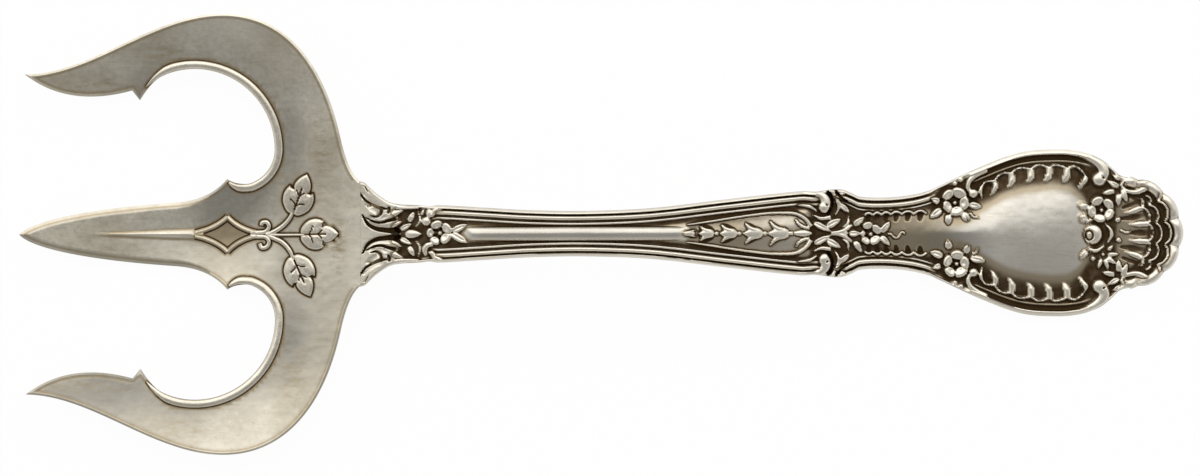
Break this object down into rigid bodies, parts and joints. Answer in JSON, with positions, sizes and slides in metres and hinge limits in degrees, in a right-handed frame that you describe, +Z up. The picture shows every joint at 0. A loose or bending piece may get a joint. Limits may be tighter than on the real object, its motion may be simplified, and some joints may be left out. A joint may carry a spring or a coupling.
{
  "type": "bread fork",
  "caption": "Silver bread fork with a wide dished head, barbed outer tines, a spear-shaped centre tine, a laid-on leaf sprig and a struck handle that ends in a shell.",
  "frame": {"origin": "on the table plane, under the middle of the fork's length and width", "axes": "+X from the tines to the shell end, +Y across the head, +Z up from the table, with the decorated face up"},
  "size_m": [0.2, 0.0756, 0.011],
  "materials": {
    "head_silver": "satin sterling silver, worn and lightly tarnished",
    "handle_silver": "polished sterling silver with dark patina in the recesses",
    "hard_solder": "hard silver solder, filed flush",
    "laid_silver": "satin sterling silver with dark crevices"
  },
  "bodies": {
    "root": {"fork_head": "head_silver", "handle": "handle_silver", "solder_seam": "hard_solder", "edge_wire_upper": "laid_silver", "edge_wire_lower": "laid_silver", "tine_diamond": "laid_silver", "sprig_stem": "laid_silver", "leaf_upper": "laid_silver", "leaf_middle": "laid_silver", "leaf_lower": "laid_silver"}
  },
  "joints": []
}
